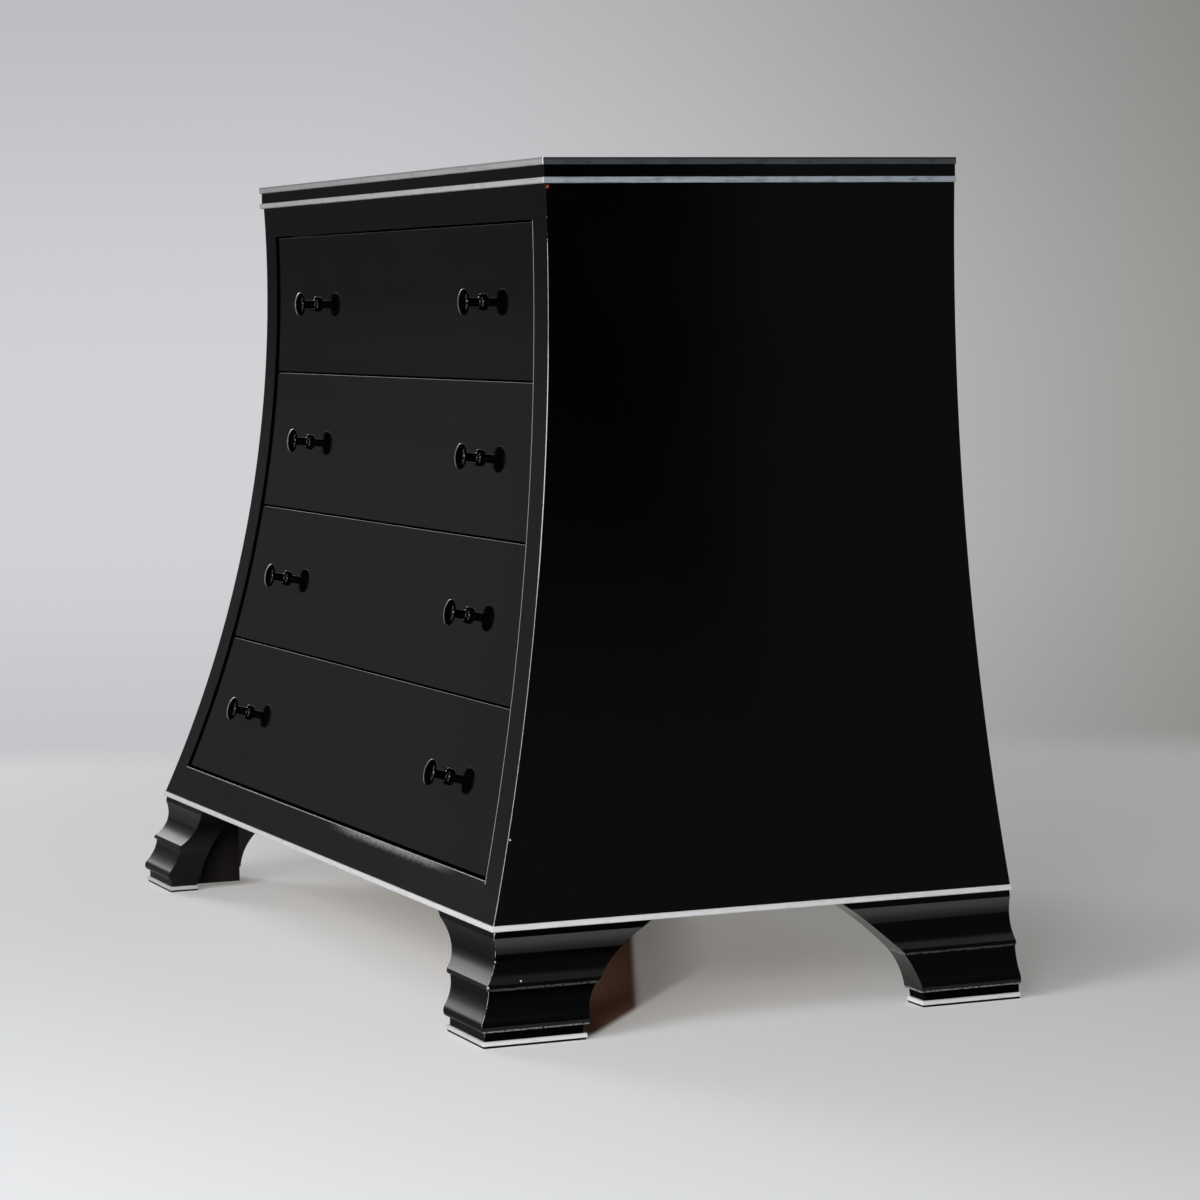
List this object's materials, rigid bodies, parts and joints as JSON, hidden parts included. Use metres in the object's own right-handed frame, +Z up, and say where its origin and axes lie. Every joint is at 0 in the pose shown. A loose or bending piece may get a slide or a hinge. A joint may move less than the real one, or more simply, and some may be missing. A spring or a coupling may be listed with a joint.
{
  "type": "commode chest",
  "caption": "Black lacquered chest of drawers with hollow front and sides that flare out to moulded bracket feet, turned knobs, and silvered beads round the top and base.",
  "frame": {"origin": "on the floor, in the middle of the outline of the chest seen from above", "axes": "+Z up, +X along the width to the right of someone facing the drawers, drawers open towards -Y"},
  "size_m": [1.2418, 0.609, 0.89],
  "materials": {
    "black_lacquer": "polished black lacquer",
    "silver_leaf": "aged silver leaf on wood",
    "dark_stain": "thin matt black stain",
    "frame_wood": "planed, unfinished",
    "drawer_wood": "sanded, thin clear coat",
    "dark_sole": "matt black paint"
  },
  "bodies": {
    "case": {"left_side_panel": "black_lacquer", "right_side_panel": "black_lacquer", "top_board": "black_lacquer", "left_stile": "black_lacquer", "right_stile": "black_lacquer", "top_rail": "black_lacquer", "bottom_rail": "black_lacquer", "front_left_foot_front_wing": "black_lacquer", "front_left_foot_side_wing": "black_lacquer", "front_right_foot_front_wing": "black_lacquer", "front_right_foot_side_wing": "black_lacquer", "back_left_foot_side_wing": "black_lacquer", "back_right_foot_side_wing": "black_lacquer", "upper_bead": "silver_leaf", "lower_bead": "silver_leaf", "base_bead": "silver_leaf", "foot_pads": "silver_leaf", "back_panel": "dark_stain", "back_left_foot_back_bracket": "dark_stain", "back_right_foot_back_bracket": "dark_stain", "bottom_board": "frame_wood", "drawer_guides": "frame_wood", "drawer_stops": "frame_wood", "drawer_kickers": "frame_wood", "foot_corner_blocks": "dark_stain", "drawer_rail_1": "frame_wood", "drawer_rail_2": "frame_wood", "drawer_rail_3": "frame_wood", "drawer_rail_4": "frame_wood", "drawer_runners_1": "frame_wood", "drawer_runners_2": "frame_wood", "drawer_runners_3": "frame_wood", "drawer_runners_4": "frame_wood", "foot_soles": "dark_sole"},
    "drawer_1": {"drawer_1_front": "black_lacquer", "drawer_1_left_side": "drawer_wood", "drawer_1_right_side": "drawer_wood", "drawer_1_back": "drawer_wood", "drawer_1_bottom": "drawer_wood", "drawer_1_knobs": "black_lacquer"},
    "drawer_2": {"drawer_2_front": "black_lacquer", "drawer_2_left_side": "drawer_wood", "drawer_2_right_side": "drawer_wood", "drawer_2_back": "drawer_wood", "drawer_2_bottom": "drawer_wood", "drawer_2_knobs": "black_lacquer"},
    "drawer_3": {"drawer_3_front": "black_lacquer", "drawer_3_left_side": "drawer_wood", "drawer_3_right_side": "drawer_wood", "drawer_3_back": "drawer_wood", "drawer_3_bottom": "drawer_wood", "drawer_3_knobs": "black_lacquer"},
    "drawer_4": {"drawer_4_front": "black_lacquer", "drawer_4_left_side": "drawer_wood", "drawer_4_right_side": "drawer_wood", "drawer_4_back": "drawer_wood", "drawer_4_bottom": "drawer_wood", "drawer_4_knobs": "black_lacquer"}
  },
  "joints": [
    {"name": "drawer_1_slide", "type": "slide", "parent": "case", "child": "drawer_1", "axis": [0, -1, 0], "range_m": [0, 0.36]},
    {"name": "drawer_2_slide", "type": "slide", "parent": "case", "child": "drawer_2", "axis": [0, -1, 0], "range_m": [0, 0.36]},
    {"name": "drawer_3_slide", "type": "slide", "parent": "case", "child": "drawer_3", "axis": [0, -1, 0], "range_m": [0, 0.36]},
    {"name": "drawer_4_slide", "type": "slide", "parent": "case", "child": "drawer_4", "axis": [0, -1, 0], "range_m": [0, 0.36]}
  ]
}
